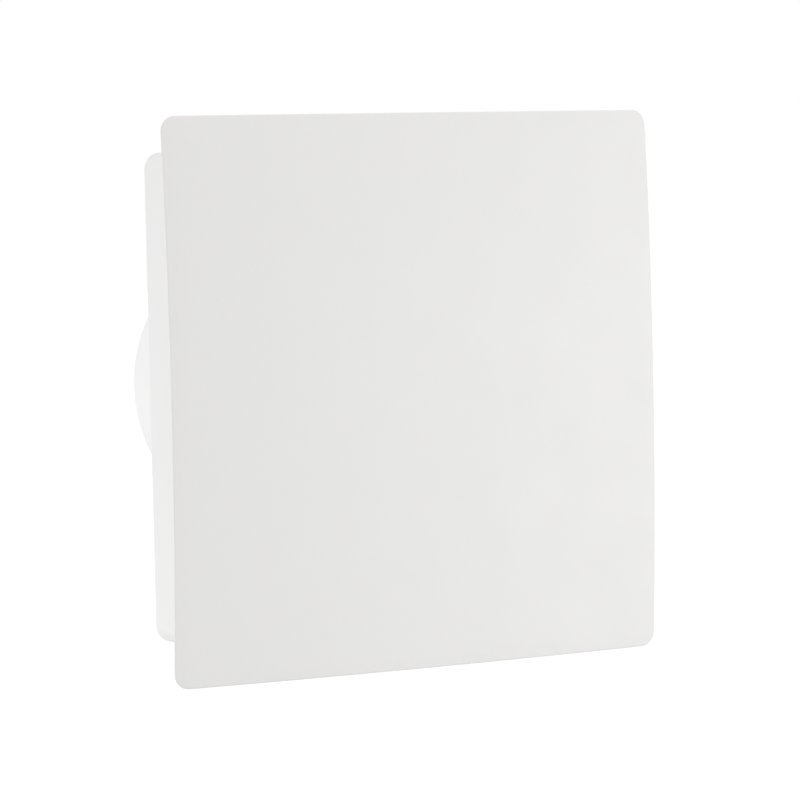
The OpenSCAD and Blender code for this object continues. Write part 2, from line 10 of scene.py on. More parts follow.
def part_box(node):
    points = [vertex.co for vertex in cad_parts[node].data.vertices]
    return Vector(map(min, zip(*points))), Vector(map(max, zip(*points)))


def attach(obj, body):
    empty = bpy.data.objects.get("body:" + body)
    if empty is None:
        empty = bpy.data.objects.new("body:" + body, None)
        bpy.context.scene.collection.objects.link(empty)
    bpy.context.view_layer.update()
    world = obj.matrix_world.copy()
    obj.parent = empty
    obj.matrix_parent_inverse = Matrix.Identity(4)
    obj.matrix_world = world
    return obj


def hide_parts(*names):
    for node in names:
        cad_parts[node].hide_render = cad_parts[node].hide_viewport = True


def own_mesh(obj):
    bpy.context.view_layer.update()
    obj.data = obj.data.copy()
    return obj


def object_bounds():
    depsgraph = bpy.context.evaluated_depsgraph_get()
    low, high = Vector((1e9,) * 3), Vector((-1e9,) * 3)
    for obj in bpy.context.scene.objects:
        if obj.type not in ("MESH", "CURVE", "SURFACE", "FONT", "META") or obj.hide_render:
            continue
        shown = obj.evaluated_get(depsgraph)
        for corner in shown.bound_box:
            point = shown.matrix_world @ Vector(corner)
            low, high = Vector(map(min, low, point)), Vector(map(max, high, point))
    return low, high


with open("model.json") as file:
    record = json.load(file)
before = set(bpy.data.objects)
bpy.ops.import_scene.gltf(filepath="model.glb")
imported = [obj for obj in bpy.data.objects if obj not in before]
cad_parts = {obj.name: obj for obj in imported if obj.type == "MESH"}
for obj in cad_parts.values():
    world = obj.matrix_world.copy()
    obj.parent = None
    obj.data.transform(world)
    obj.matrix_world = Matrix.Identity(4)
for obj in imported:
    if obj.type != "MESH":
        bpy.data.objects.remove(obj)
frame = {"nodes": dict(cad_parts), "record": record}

MM = 0.001
CAD_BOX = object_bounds()
RECORD = frame["record"]
BODY_OF = {
    node: body
    for body, nodes in RECORD["behaviour"]["bodies"].items()
    for node in nodes
}
SLOT_OF = {row["node"]: row["material_slot"] for row in RECORD["subparts"]}

# The cover's dome, as the CAD draws it: how far it bulges across and over, and its plate
COVER_LOW, COVER_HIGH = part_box("front_cover")
COVER_W = COVER_HIGH.x - COVER_LOW.x
COVER_HALF = COVER_W / 2
COVER_FRONT = COVER_LOW.y
COVER_T = 2.6 * MM
COVER_R = 5 * MM
BULGE_ACROSS = 3.2 * MM
BULGE_OVER = 2.75 * MM
COVER_STAND = -COVER_FRONT - BULGE_ACROSS - BULGE_OVER


# ---- camera ----

AZIMUTH = math.radians(-29.65)
ELEVATION = math.radians(3.31)
ROLL = math.radians(-1.286)
DISTANCE = 6.871 * COVER_W
LENS = 172.13
SENSOR = 36
AIM = Vector((-0.0360 * COVER_W, -COVER_STAND, -0.0144 * COVER_W))


def make_camera():
    """A camera that looks at AIM from DISTANCE away, rolled a little about its line of sight."""
    back = Vector((
        math.sin(AZIMUTH) * math.cos(ELEVATION),
        -math.cos(AZIMUTH) * math.cos(ELEVATION),
        math.sin(ELEVATION),
    ))
    right = (-back).cross(Vector((0, 0, 1))).normalized()
    up = right.cross(-back)
    turned_right = math.cos(ROLL) * right + math.sin(ROLL) * up
    turned_up = -math.sin(ROLL) * right + math.cos(ROLL) * up
    data = bpy.data.cameras.new("camera")
    data.lens = LENS
    data.sensor_width = SENSOR
    data.clip_start = 0.01
    data.clip_end = 100
    camera = bpy.data.objects.new("camera", data)
    camera.matrix_world = Matrix.Translation(AIM + back * DISTANCE) @ Matrix(
        (turned_right, turned_up, back)
    ).transposed().to_4x4()
    bpy.context.scene.collection.objects.link(camera)
    bpy.context.scene.camera = camera


make_camera()


# ---- materials ----


class Nodes:
    """A material's node tree with its Principled shader, and short ways to add to it."""

    def __init__(self, name, **constants):
        self.material = bpy.data.materials.new(name)
        self.material.use_nodes = True
        self.tree = self.material.node_tree
        self.shader = self.tree.nodes["Principled BSDF"]
        for socket, value in constants.items():
            self.shader.inputs[socket.replace("_", " ")].default_value = value
        self.place = self.tree.nodes.new("ShaderNodeTexCoord").outputs["Object"]

    def add(self, kind, **inputs):
        node = self.tree.nodes.new("ShaderNode" + kind)
        for socket, value in inputs.items():
            target = node.inputs[socket.replace("_", " ")]
            if isinstance(value, bpy.types.NodeSocket):
                self.tree.links.new(value, target)
            else:
                target.default_value = value
        return node

    def stretched(self, scale):
        return self.add("Mapping", Vector=self.place, Scale=scale).outputs["Vector"]

    def noise(self, scale, detail=2.0, vector=None, roughness=0.5):
        return self.add("TexNoise", Vector=vector or self.place, Scale=scale,
                        Detail=detail, Roughness=roughness).outputs["Fac"]

    def ramp(self, factor, stops):
        """stops: (place, colour or grey) pairs"""
        node = self.add("ValToRGB", Fac=factor)
        elements = node.color_ramp.elements
        while len(elements) < len(stops):
            elements.new(0.5)
        for element, (place, colour) in zip(elements, stops):
            element.position = place
            element.color = [*colour, 1] if not isinstance(colour, float) else [colour] * 3 + [1]
        return node.outputs["Color"]

    def spread(self, factor, low, high, start=0.3, end=0.7):
        return self.add("MapRange", Value=factor, From_Min=start, From_Max=end,
                        To_Min=low, To_Max=high).outputs["Result"]

    def mix(self, factor, first, second, blend="MIX"):
        node = self.tree.nodes.new("ShaderNodeMix")
        node.data_type = "RGBA"
        node.blend_type = blend
        for socket, value in (("Factor_Float", factor), ("A_Color", first), ("B_Color", second)):
            target = next(i for i in node.inputs if i.identifier == socket)
            if isinstance(value, bpy.types.NodeSocket):
                self.tree.links.new(value, target)
            else:
                target.default_value = value
        return next(o for o in node.outputs if o.identifier == "Result_Color")

    def relief(self, height, strength, distance, under=None):
        node = self.add("Bump", Height=height, Strength=strength, Distance=distance)
        if under is not None:
            self.tree.links.new(under, node.inputs["Normal"])
        return node.outputs["Normal"]

    def finish(self, colour, roughness, normal):
        for output, socket in ((colour, "Base Color"), (roughness, "Roughness"), (normal, "Normal")):
            self.tree.links.new(output, self.shader.inputs[socket])
        return self.material


def tinted(colour, by):
    return tuple(min(max(c * by, 0.0), 1.0) for c in colour)


def moulded(name, colour, roughness=0.42, grain=1500.0, depth=0.05, drift=0.012, flow=0.10,
            **constants):
    """Moulded plastic: the fine eroded grain of its mould, faint flow patches and a little uneven gloss."""
    m = Nodes(name, **constants)
    patches = m.noise(22.0, 3.0)
    tint = m.ramp(patches, [(0.3, tinted(colour, 1 - drift)), (0.7, tinted(colour, 1 + drift))])
    fine = m.noise(grain, 3.0, roughness=0.6)
    gloss = m.spread(m.noise(60.0, 2.0), roughness - 0.05, roughness + 0.05)
    waves = m.relief(m.noise(38.0, 1.0), flow, 0.05 * MM)
    return m.finish(tint, gloss, m.relief(fine, depth, 0.06 * MM, under=waves))


def foamed(name, colour, cell=900.0, depth=0.8):
    """Foam: round cells in two sizes, painted darker towards their middles as shade in the pores, so that the
    walls look lighter.
    """
    m = Nodes(name, Specular_IOR_Level=0.25, Sheen_Weight=0.15)
    cells = m.add("TexVoronoi", Vector=m.place, Scale=cell).outputs["Distance"]
    coarse = m.add("TexVoronoi", Vector=m.place, Scale=cell * 0.45).outputs["Distance"]
    # Painted shade: the middles of the pores are darkened to 0.45 of the colour, and the walls between them
    # are lightened to 1.25.
    pore_shade = m.ramp(cells, [(0.15, 0.0), (0.6, 1.0)])
    tint = m.mix(pore_shade, [*tinted(colour, 0.45), 1], [*tinted(colour, 1.25), 1])
    worn = m.mix(m.noise(45.0, 4.0), tint, [*tinted(colour, 1.1), 1])
    pores = m.relief(coarse, depth * 0.6, 0.5 * MM)
    return m.finish(worn, m.spread(cells, 0.85, 0.98), m.relief(cells, depth, 0.3 * MM, under=pores))


def fibrous(name, colour, scale=1700.0, depth=0.8):
    """Needled or blown fibre: fine strands crossing at several angles, lighter on top and painted darker in
    the depths between them as shade.
    """
    m = Nodes(name, Specular_IOR_Level=0.3, Sheen_Weight=0.25)
    strands = None
    for turn in (0.3, 1.1, 1.9, 2.7):
        turned = m.add("Mapping", Vector=m.place, Rotation=(0.0, turn, 0.0)).outputs["Vector"]
        drawn = m.add("Mapping", Vector=turned, Scale=(1.0, 1.0, 0.06)).outputs["Vector"]
        layer = m.noise(scale, 2.0, vector=drawn, roughness=0.6)
        strands = layer if strands is None else m.mix(1.0, strands, layer, "LIGHTEN")
    # Painted shade: where the strands lie low the colour is darkened to 0.6, and where they stand high it is
    # lightened to 1.2.
    tint = m.ramp(strands, [(0.50, tinted(colour, 0.6)), (0.60, colour), (0.74, tinted(colour, 1.2))])
    clumps = m.mix(m.spread(m.noise(90.0, 3.0), 0.0, 0.3), tint, [*tinted(colour, 0.72), 1])
    return m.finish(clumps, m.spread(strands, 0.95, 0.8), m.relief(strands, depth, 0.4 * MM))


def metal(name, colour, roughness=0.3, lines=(1.0, 14.0, 1.0), tarnish=0.08):
    """Plated or turned metal: fine tool lines, and a plating whose tone wanders."""
    m = Nodes(name, Metallic=1.0)
    wander = m.noise(130.0, 4.0)
    tint = m.ramp(wander, [(0.3, tinted(colour, 1 - tarnish)), (0.5, colour),
                           (0.72, (colour[0] * (1 + tarnish), colour[1] * 1.02, colour[2] * 0.94))])
    scored = m.noise(500.0, 3.0, vector=m.stretched(lines))
    gloss = m.spread(scored, roughness - 0.08, roughness + 0.12)
    return m.finish(tint, gloss, m.relief(scored, 0.12, 0.05 * MM))


def rubbery(name, colour, roughness=0.6):
    """Soft rubber or cable sheath: matt, faintly dusty, with a smooth wavering surface."""
    m = Nodes(name, Specular_IOR_Level=0.4)
    dust = m.noise(210.0, 5.0)
    tint = m.ramp(dust, [(0.45, colour), (0.75, tuple(c * 0.8 + 0.035 for c in colour))])
    return m.finish(tint, m.spread(dust, roughness - 0.1, roughness + 0.15),
                    m.relief(m.noise(700.0, 2.0), 0.15, 0.06 * MM))


def circuit_board(name, colour):
    """A lacquered board: copper tracks that show lighter through the lacquer, over a faint glass weave."""
    m = Nodes(name, Coat_Weight=0.5, Coat_Roughness=0.12)
    cells = m.add("TexVoronoi", Vector=m.place, Scale=420.0)
    cells.distance = "CHEBYCHEV"
    cells.feature = "F1"
    edges = m.add("TexVoronoi", Vector=m.place, Scale=260.0)
    edges.distance = "MANHATTAN"
    tracks = m.ramp(edges.outputs["Distance"], [(0.40, 0.0), (0.43, 1.0), (0.55, 1.0), (0.58, 0.0)])
    pads = m.ramp(cells.outputs["Distance"], [(0.10, 1.0), (0.13, 0.0)])
    weave = m.noise(900.0, 1.0, vector=m.stretched((1.0, 1.0, 0.3)))
    ground = m.ramp(weave, [(0.3, tinted(colour, 0.85)), (0.7, tinted(colour, 1.1))])
    tracked = m.mix(tracks, ground, [*tinted(colour, 1.9), 1])
    dotted = m.mix(pads, tracked, [0.62, 0.60, 0.52, 1])
    return m.finish(dotted, m.spread(weave, 0.28, 0.38), m.relief(tracks, 0.25, 0.05 * MM))


def fired_clay(name, colour):
    """Unglazed extruded ceramic: chalky, speckled, with drag lines along the channels."""
    m = Nodes(name, Specular_IOR_Level=0.25)
    speck = m.noise(1600.0, 2.0)
    cloud = m.noise(60.0, 4.0)
    tint = m.ramp(cloud, [(0.3, tinted(colour, 0.9)), (0.7, tinted(colour, 1.06))])
    speckled = m.mix(m.ramp(speck, [(0.62, 0.0), (0.72, 1.0)]), tint, [*tinted(colour, 0.62), 1])
    drag = m.noise(900.0, 2.0, vector=m.stretched((1.0, 0.06, 1.0)))
    return m.finish(speckled, m.spread(cloud, 0.82, 0.95), m.relief(drag, 0.35, 0.15 * MM))


def stacked_sheets(name, colour):
    """Punched steel sheets stacked along the motor's axis, each edge a line."""
    m = Nodes(name, Metallic=0.9)
    wave = m.add("TexWave", Vector=m.place, Scale=320.0, Distortion=0.4)
    wave.bands_direction = "Y"
    rust = m.noise(260.0, 4.0)
    tint = m.ramp(rust, [(0.35, tinted(colour, 0.8)), (0.6, colour), (0.8, (0.30, 0.22, 0.17))])
    lined = m.mix(m.ramp(wave.outputs["Fac"], [(0.1, 0.6), (0.3, 0.0)]), tint, [0.06, 0.055, 0.05, 1])
    return m.finish(lined, m.spread(rust, 0.35, 0.6), m.relief(wave.outputs["Fac"], 0.5, 0.1 * MM))


def enamelled_wire(name, colour):
    """Copper winding wire under clear enamel, a little darker where the turns were heated."""
    m = Nodes(name, Metallic=0.95, Coat_Weight=0.8, Coat_Roughness=0.08)
    heat = m.noise(180.0, 3.0)
    tint = m.ramp(heat, [(0.3, tinted(colour, 0.75)), (0.7, tinted(colour, 1.1))])
    return m.finish(tint, m.spread(heat, 0.22, 0.36), m.relief(m.noise(800.0), 0.06, 0.04 * MM))


def clear_plastic(name, colour):
    """A clear moulding with a slightly frosted face."""
    m = Nodes(name, Transmission_Weight=0.85, IOR=1.49)
    haze = m.noise(400.0, 3.0)
    tint = m.ramp(haze, [(0.3, tinted(colour, 0.96)), (0.7, colour)])
    return m.finish(tint, m.spread(haze, 0.12, 0.3), m.relief(haze, 0.05, 0.05 * MM))


FINISH = {
    "cover_white": moulded("cover_white", (0.862, 0.860, 0.842), 0.46, depth=0.035, drift=0.004,
                           flow=0.03, Subsurface_Weight=0.04, Subsurface_Scale=0.002),
    "housing_white": moulded("housing_white", (0.862, 0.862, 0.858), 0.48, grain=1300.0, depth=0.08,
                             drift=0.006),
    # The spigot's white is set lighter than the housing's as painted light: it stands for the stronger light
    # that falls on the spigot from behind-left.
    "spigot_white": moulded("spigot_white", (0.935, 0.935, 0.933), 0.42, depth=0.04, drift=0.006),
    "plate_plastic": moulded("plate_plastic", (0.66, 0.67, 0.67), 0.52, grain=1200.0, depth=0.12),
    "duct_plastic": moulded("duct_plastic", (0.52, 0.53, 0.54), 0.45, grain=1200.0, depth=0.1),
    "fan_plastic": moulded("fan_plastic", (0.035, 0.036, 0.040), 0.44, grain=900.0, depth=0.2, drift=0.1),
    "foam": foamed("foam", (0.055, 0.056, 0.060), 1300.0),
    "sound_foam": foamed("sound_foam", (0.075, 0.080, 0.088), 700.0, 1.0),
    "filter_mat": fibrous("filter_mat", (0.70, 0.73, 0.74)),
    "felt": fibrous("felt", (0.56, 0.51, 0.42), 2300.0, 0.5),
    "rubber_black": rubbery("rubber_black", (0.018, 0.018, 0.020), 0.62),
    "steel": metal("steel", (0.56, 0.56, 0.57)),
    "magnet": moulded("magnet", (0.028, 0.027, 0.027), 0.58, grain=1100.0, depth=0.25, drift=0.15),
    "laminations": stacked_sheets("laminations", (0.24, 0.24, 0.25)),
    "copper": enamelled_wire("copper", (0.70, 0.26, 0.10)),
    "board_green": circuit_board("board_green", (0.012, 0.115, 0.05)),
    "ceramic": fired_clay("ceramic", (0.66, 0.58, 0.46)),
    "terminal_plastic": moulded("terminal_plastic", (0.66, 0.63, 0.53), 0.4, depth=0.06, drift=0.02),
    "black_plastic": moulded("black_plastic", (0.022, 0.022, 0.024), 0.46, grain=1000.0, depth=0.22,
                             drift=0.1),
    "wire_black": rubbery("wire_black", (0.016, 0.016, 0.018), 0.45),
    "wire_red": rubbery("wire_red", (0.33, 0.018, 0.015), 0.42),
    "wire_grey": rubbery("wire_grey", (0.26, 0.26, 0.27), 0.45),
    "capacitor_sleeve": moulded("capacitor_sleeve", (0.012, 0.026, 0.11), 0.22, depth=0.03,
                                drift=0.05),
    "trimmer_blue": moulded("trimmer_blue", (0.02, 0.12, 0.45), 0.3, depth=0.06, drift=0.03),
    "dial_white": moulded("dial_white", (0.78, 0.78, 0.75), 0.38, depth=0.05),
    "light_clear": clear_plastic("light_clear", (0.80, 0.92, 0.84)),
}


# ---- room: pale floor, white surroundings, soft lights ----

FLOOR_DROP = 0.5
FLOOR_SIZE = 40
AMBIENT = 0.80
SLANT = (0.0, 0.0, 0.21)
KEY_WATTS = 1.21
KEY_AT = (0.55, -0.60, -0.06)
KEY_SIZE = 0.45
RIM_WATTS = 1.62
RIM_AT = (-0.75, 0.35, -0.30)
RIM_SIZE = 0.50
FLOOR_GLOW = 0.15


def area_light(name, place, size, watts):
    """A square lamp that points at the origin."""
    data = bpy.data.lights.new(name, "AREA")
    data.shape = "SQUARE"
    data.size = size
    data.energy = watts
    lamp = bpy.data.objects.new(name, data)
    lamp.location = place
    lamp.rotation_euler = (-Vector(place)).to_track_quat("-Z", "Y").to_euler()
    bpy.context.scene.collection.objects.link(lamp)


def make_surroundings():
    """White to the eye. As a light it slants: brighter on the side that SLANT points to."""
    world = bpy.data.worlds.new("studio")
    world.use_nodes = True
    tree = world.node_tree
    direction = tree.nodes.new("ShaderNodeTexCoord").outputs["Generated"]
    along = tree.nodes.new("ShaderNodeVectorMath")
    along.operation = "DOT_PRODUCT"
    along.inputs[1].default_value = SLANT
    tree.links.new(direction, along.inputs[0])
    level = tree.nodes.new("ShaderNodeMath")
    level.inputs[1].default_value = AMBIENT
    tree.links.new(along.outputs["Value"], level.inputs[0])
    light = tree.nodes["Background"]
    light.inputs["Color"].default_value = (1, 1, 1, 1)
    tree.links.new(level.outputs[0], light.inputs["Strength"])
    seen = tree.nodes.new("ShaderNodeBackground")
    seen.inputs["Color"].default_value = (1, 1, 1, 1)
    choice = tree.nodes.new("ShaderNodeMixShader")
    tree.links.new(tree.nodes.new("ShaderNodeLightPath").outputs["Is Camera Ray"], choice.inputs[0])
    tree.links.new(light.outputs[0], choice.inputs[1])
    tree.links.new(seen.outputs[0], choice.inputs[2])
    tree.links.new(choice.outputs[0], tree.nodes["World Output"].inputs["Surface"])
    bpy.context.scene.world = world
    bpy.context.scene.view_settings.view_transform = "Standard"


def make_floor():
    """Pale, and a little bright of itself. Diffuse rays pass it by, so it doesn't light the underside."""
    bpy.ops.mesh.primitive_plane_add(size=FLOOR_SIZE, location=(0, 0, CAD_BOX[0].z - FLOOR_DROP))
    floor = bpy.context.object
    floor.name = "floor"
    floor.data.materials.append(moulded(
        "floor_paint", (0.97, 0.97, 0.97), 0.9, grain=40.0, depth=0.02, drift=0.002,
        Emission_Color=(1, 1, 1, 1), Emission_Strength=FLOOR_GLOW))
    floor.visible_diffuse = False


make_surroundings()
make_floor()
area_light("key", KEY_AT, KEY_SIZE, KEY_WATTS)
area_light("rim", RIM_AT, RIM_SIZE, RIM_WATTS)


# ---- ways to make pieces ----


def dress(obj, node, *also):
    """The finished piece obj stands for node, and for also, rides on its body and takes its slot's finish."""
    obj.data.materials.clear()
    obj.data.materials.append(FINISH[SLOT_OF[node]])
    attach(obj, BODY_OF[node])
    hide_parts(node, *also)
    return obj


def piece_from(shape, name, sharp=40):
    """An object from a bmesh, smooth but for edges that turn more than sharp degrees."""
    bmesh.ops.recalc_face_normals(shape, faces=shape.faces)
    data = bpy.data.meshes.new(name)
    shape.to_mesh(data)
    shape.free()
    data.shade_smooth()
    data.set_sharp_from_angle(angle=math.radians(sharp))
    obj = bpy.data.objects.new(name, data)
    bpy.context.scene.collection.objects.link(obj)
    return obj


def bridge(shape, first, second):
    """Faces between two rings of the same count."""
    for k in range(len(first)):
        n = (k + 1) % len(first)
        shape.faces.new((first[k], first[n], second[n], second[k]))


def loft(shape, rings, loop=False):
    """Faces between rings of the same count. The ends are closed by a flat cap, or joined if loop."""
    made = [[shape.verts.new(p) for p in ring] for ring in rings]
    pairs = list(zip(made, made[1:]))
    if loop:
        pairs.append((made[-1], made[0]))
    for first, second in pairs:
        bridge(shape, first, second)
    if not loop:
        for ring in (made[0], made[-1]):
            shape.faces.new(ring)


def circle(r, y, sides=48, x=0.0, z=0.0):
    """Points round a circle in X and Z; y is a depth, or a function of x and z."""
    points = []
    for k in range(sides):
        a = 2 * math.pi * k / sides
        px, pz = x + r * math.cos(a), z + r * math.sin(a)
        points.append(Vector((px, y(px, pz) if callable(y) else y, pz)))
    return points


MERGE = 0.002 * MM
FLAT = math.radians(0.8)
SHARP = 32
BEVEL_SEGMENTS = 3


def soften(node, width):
    """A piece from a CAD node's own shape, with its sharp edges rounded as a mould or tool leaves them."""
    shape = bmesh.new()
    shape.from_mesh(frame["nodes"][node].data)
    bmesh.ops.remove_doubles(shape, verts=shape.verts, dist=MERGE)
    bmesh.ops.dissolve_limit(shape, angle_limit=FLAT, verts=shape.verts, edges=shape.edges)
    obj = piece_from(shape, node + "_finished", SHARP)
    edge = obj.modifiers.new("rounded_edges", "BEVEL")
    edge.width = width
    edge.segments = BEVEL_SEGMENTS
    edge.limit_method = "ANGLE"
    edge.angle_limit = math.radians(SHARP)
    edge.harden_normals = True
    return dress(obj, node)


# ---- cover ----

# The plate's edge: a small round that runs on into a taper, so that it looks thin from the room
EDGE_R = 0.45 * MM
EDGE_TAPER = math.radians(48)
BACK_BREAK = 0.12 * MM
EDGE_STEPS = 12
ARC_STEPS = 10
SIDE_STEPS = 24
MIN_CORNER = 0.4 * MM
ROOT = 0.4 * MM  # how far ribs and pegs start inside the plate


def dome(x, z, behind=0.0):
    """The depth of the cover's surface at x and z, moved back by a distance."""
    across = (COVER_HALF**2 + BULGE_ACROSS**2) / (2 * BULGE_ACROSS)
    over = (COVER_HALF**2 + BULGE_OVER**2) / (2 * BULGE_OVER)
    reach = over - across + math.sqrt((across - behind) ** 2 - x * x)
    return COVER_FRONT + over - math.sqrt(reach**2 - z * z)


def square_outline(half, corner):
    """Points (x, z) round a square with round corners."""
    points = []
    for quarter in range(4):
        turn = quarter * math.pi / 2
        for k in range(ARC_STEPS + 1):
            a = turn + k * math.pi / 2 / ARC_STEPS
            points.append((
                (half - corner) * (math.cos(turn) - math.sin(turn)) + corner * math.cos(a),
                (half - corner) * (math.sin(turn) + math.cos(turn)) + corner * math.sin(a),
            ))
        (x0, z0), after = points[-1], turn + math.pi / 2
        x1 = (half - corner) * (math.cos(after) - math.sin(after)) + corner * math.cos(after)
        z1 = (half - corner) * (math.sin(after) + math.cos(after)) + corner * math.sin(after)
        for k in range(1, SIDE_STEPS):
            points.append((x0 + (x1 - x0) * k / SIDE_STEPS, z0 + (z1 - z0) * k / SIDE_STEPS))
    return points


def plate_outline(inset):
    return square_outline(COVER_HALF - inset, max(COVER_R - inset, MIN_CORNER))


def plate_ring(inset, behind, push=0.0):
    """A ring of the cover's plate: its outline moved in, on the dome moved back."""
    return [Vector((x, dome(x, z, behind) + push, z)) for x, z in plate_outline(inset)]


def inner_rings(behind, inset, count=14):
    """Rings that shrink from the rim towards the middle, as fractions of the rim."""
    rings = []
    for k in range(1, count):
        share = 1 - k / count
        rim = [(x * share, z * share) for x, z in plate_outline(inset)]
        rings.append([Vector((x, dome(x, z, behind), z)) for x, z in rim])
    return rings


def rib(shape, outer, inner, end, tip=0.35 * MM):
    """A wall on the cover's back between two outlines (x, z), with a rounded free edge at depth end."""

    def ring(outline, depth):
        return [Vector((x, depth, z)) for x, z in outline]

    def rooted(outline):
        return [Vector((x, dome(x, z, COVER_T) - ROOT, z)) for x, z in outline]

    def between(share):
        return [(xo + (xi - xo) * share, zo + (zi - zo) * share)
                for (xo, zo), (xi, zi) in zip(outer, inner)]

    loft(shape, [
        rooted(outer), ring(outer, end - tip), ring(between(0.06), end - 0.4 * tip),
        ring(between(0.2), end), ring(between(0.8), end), ring(between(0.94), end - 0.4 * tip),
        ring(inner, end - tip), rooted(inner),
    ], loop=True)


PEG_AT = (70 * MM, 44 * MM)
PEG_R = 3 * MM
PEG_SIDES = 32
SEAL_R = 61 * MM
SEAL_HALF = 1 * MM
SEAL_GAP = 0.05 * MM
ROUND_SIDES = 128
RIB_BACK = -31.5 * MM
RIB_INSET = 8 * MM
RIB_R = 4 * MM
RIB_T = 1.5 * MM


def make_cover():
    """The domed plate with its tapered edge, and the square rib, seal rib and four pegs on its back."""
    shape = bmesh.new()
    turn_end = math.pi / 2 + EDGE_TAPER
    turns = [k * turn_end / EDGE_STEPS for k in range(EDGE_STEPS + 1)]
    rim = [plate_ring(EDGE_R * (1 - math.sin(a)), 0, EDGE_R * (1 - math.cos(a))) for a in turns]
    taper = (COVER_T - EDGE_R * (1 - math.cos(turn_end))) * math.tan(EDGE_TAPER)
    back_inset = EDGE_R * (1 - math.sin(turn_end)) + taper
    back = [
        plate_ring(back_inset - BACK_BREAK, COVER_T, -BACK_BREAK),
        plate_ring(back_inset + BACK_BREAK, COVER_T),
    ]
    middle_front = list(reversed(inner_rings(0, EDGE_R)))
    loft(shape, middle_front + rim + back + inner_rings(COVER_T, back_inset + BACK_BREAK))

    half = COVER_HALF - RIB_INSET
    rib(shape, square_outline(half, RIB_R), square_outline(half - RIB_T, RIB_R - RIB_T), RIB_BACK)
    seal_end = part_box("cover_seal")[0].y
    round_out = [(p.x, p.z) for p in circle(SEAL_R + SEAL_HALF, 0, ROUND_SIDES)]
    round_in = [(p.x, p.z) for p in circle(SEAL_R - SEAL_HALF, 0, ROUND_SIDES)]
    rib(shape, round_out, round_in, seal_end - SEAL_GAP)
    for sx in (-1, 1):
        for sz in (-1, 1):
            x, z = sx * PEG_AT[0], sz * PEG_AT[1]
            profile = [
                (PEG_R + 2 * MM, RIB_BACK - 9 * MM), (PEG_R + 2 * MM, RIB_BACK - 0.3 * MM),
                (PEG_R + 1.7 * MM, RIB_BACK), (PEG_R + 0.5 * MM, RIB_BACK), (PEG_R, RIB_BACK + 0.5 * MM),
                (PEG_R, COVER_HIGH.y - 1.2 * MM), (PEG_R - 0.3 * MM, COVER_HIGH.y - 0.5 * MM),
                (PEG_R - 0.9 * MM, COVER_HIGH.y),
            ]
            root = circle(profile[0][0], lambda px, pz: dome(px, pz, COVER_T) - ROOT, PEG_SIDES, x, z)
            loft(shape, [root] + [circle(r, y, PEG_SIDES, x, z) for r, y in profile[1:]])
    dress(piece_from(shape, "cover_shell", 35), "front_cover")


make_cover()


# ---- soft round pieces: filters and sound pad ----

TUFT = 0.35 * MM
CRATE_PITCH = 13 * MM
CRATE_DEPTH = 2.6 * MM


def soft_disc(node, name, radius, front, back, rim, rings, sides=192):
    """A closed disc between two depth functions of x and z, with its edge rounded over rim."""
    shape = bmesh.new()
    levels = []
    for face, sign in ((front, 1), (back, -1)):
        part = []
        for k in range(1, rings + 1):
            r = radius * (k / rings) ** 0.85
            drop = max(r - (radius - rim), 0) / rim
            sink = sign * rim * (1 - math.sqrt(max(1 - drop * drop, 0))) * 0.9
            part.append(circle(r, lambda x, z: face(x, z) + sink, sides))
        levels.append(part)
    loft(shape, levels[0] + list(reversed(levels[1])))
    return dress(piece_from(shape, name, 60), node)


def fluff(x, z, seed, height):
    """The uneven surface of a fibre mat, for a height of its tufts."""
    at = Vector((x, seed, z))
    return height * (0.55 * noise.noise(at * 160) + 0.3 * noise.noise(at * 420)
                     + 0.35 * noise.noise(at * 900))


def make_filter(node, name, seed):
    low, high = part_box(node)
    soft_disc(node, name, high.x,
              lambda x, z: low.y + TUFT + fluff(x, z, seed, TUFT),
              lambda x, z: high.y - TUFT + fluff(x, z, seed + 5, TUFT), 0.9 * MM, 56)


def make_sound_pad():
    """Foam with an egg-crate face, which lies against the cover's back."""
    _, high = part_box("sound_pad")

    def crates(x, z):
        wave = math.cos(2 * math.pi * x / CRATE_PITCH) * math.cos(2 * math.pi * z / CRATE_PITCH)
        return high.y - CRATE_DEPTH * (0.5 - 0.5 * wave) + fluff(x, z, 3, 0.1 * MM)

    pad = soft_disc("sound_pad", "sound_pad_foam", high.x,
                    lambda x, z: dome(x, z, COVER_T) + 0.06 * MM, crates, 0.6 * MM, 64)


make_filter("room_filter", "room_filter_mat", 1)
make_filter("outdoor_filter", "outdoor_filter_mat", 2)
make_sound_pad()


# ---- wires, button spring and motor windings ----


def smooth_route(points, steps):
    """The smooth curve in metres that the CAD's wire follows through its points in millimetres."""
    points = [Vector(p) for p in points]
    route = []
    for i in range(len(points) - 1):
        a, b, c = points[max(i - 1, 0)], points[i], points[i + 1]
        d = points[min(i + 2, len(points) - 1)]
        for k in range(steps):
            t = k / steps
            route.append(0.5 * (2 * b + (c - a) * t + (2 * a - 5 * b + 4 * c - d) * t * t
                                + (3 * b - a - 3 * c + d) * t**3) * MM)
    return route + [points[-1] * MM]


def tube_rings(route, radius, sides=16):
    """Rings of a round wire along a route, turned as little as the route allows."""
    rings = []
    side = Vector((0.31, 0.17, 0.93))
    for i, point in enumerate(route):
        ahead = (route[min(i + 1, len(route) - 1)] - route[max(i - 1, 0)]).normalized()
        side = (side - side.dot(ahead) * ahead).normalized()
        other = ahead.cross(side)
        rings.append([point + radius * (math.cos(a) * side + math.sin(a) * other)
                      for a in (2 * math.pi * k / sides for k in range(sides))])
    return rings


def polar(r, angle, y):
    a = math.radians(angle)
    return (r * math.cos(a), y, r * math.sin(a))


